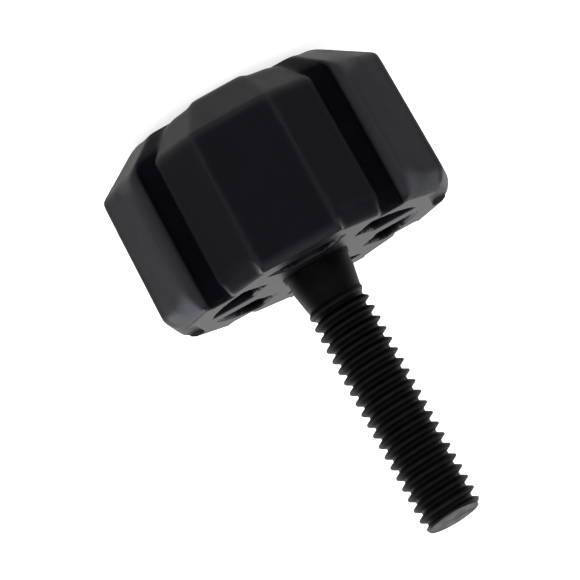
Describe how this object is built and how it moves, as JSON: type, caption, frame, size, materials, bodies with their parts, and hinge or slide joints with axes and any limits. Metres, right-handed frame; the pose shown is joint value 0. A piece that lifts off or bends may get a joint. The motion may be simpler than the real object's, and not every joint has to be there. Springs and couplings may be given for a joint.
{
  "type": "thumb screw",
  "caption": "Moulded lobed knob with a ribbed hollow underside on a threaded steel stud, turned by hand to clamp.",
  "frame": {"origin": "centre of the knob's flat crown, on which the part stands", "axes": "+Z along the stud, from the crown towards the stud's tip; +Y towards one of the two front lobes"},
  "size_m": [0.037, 0.037, 0.0565],
  "materials": {
    "knob_plastic": "satin, finely textured",
    "black_steel": "black oxide, oiled"
  },
  "bodies": {
    "root": {"knob": "knob_plastic", "threaded_stud": "black_steel"}
  },
  "joints": []
}
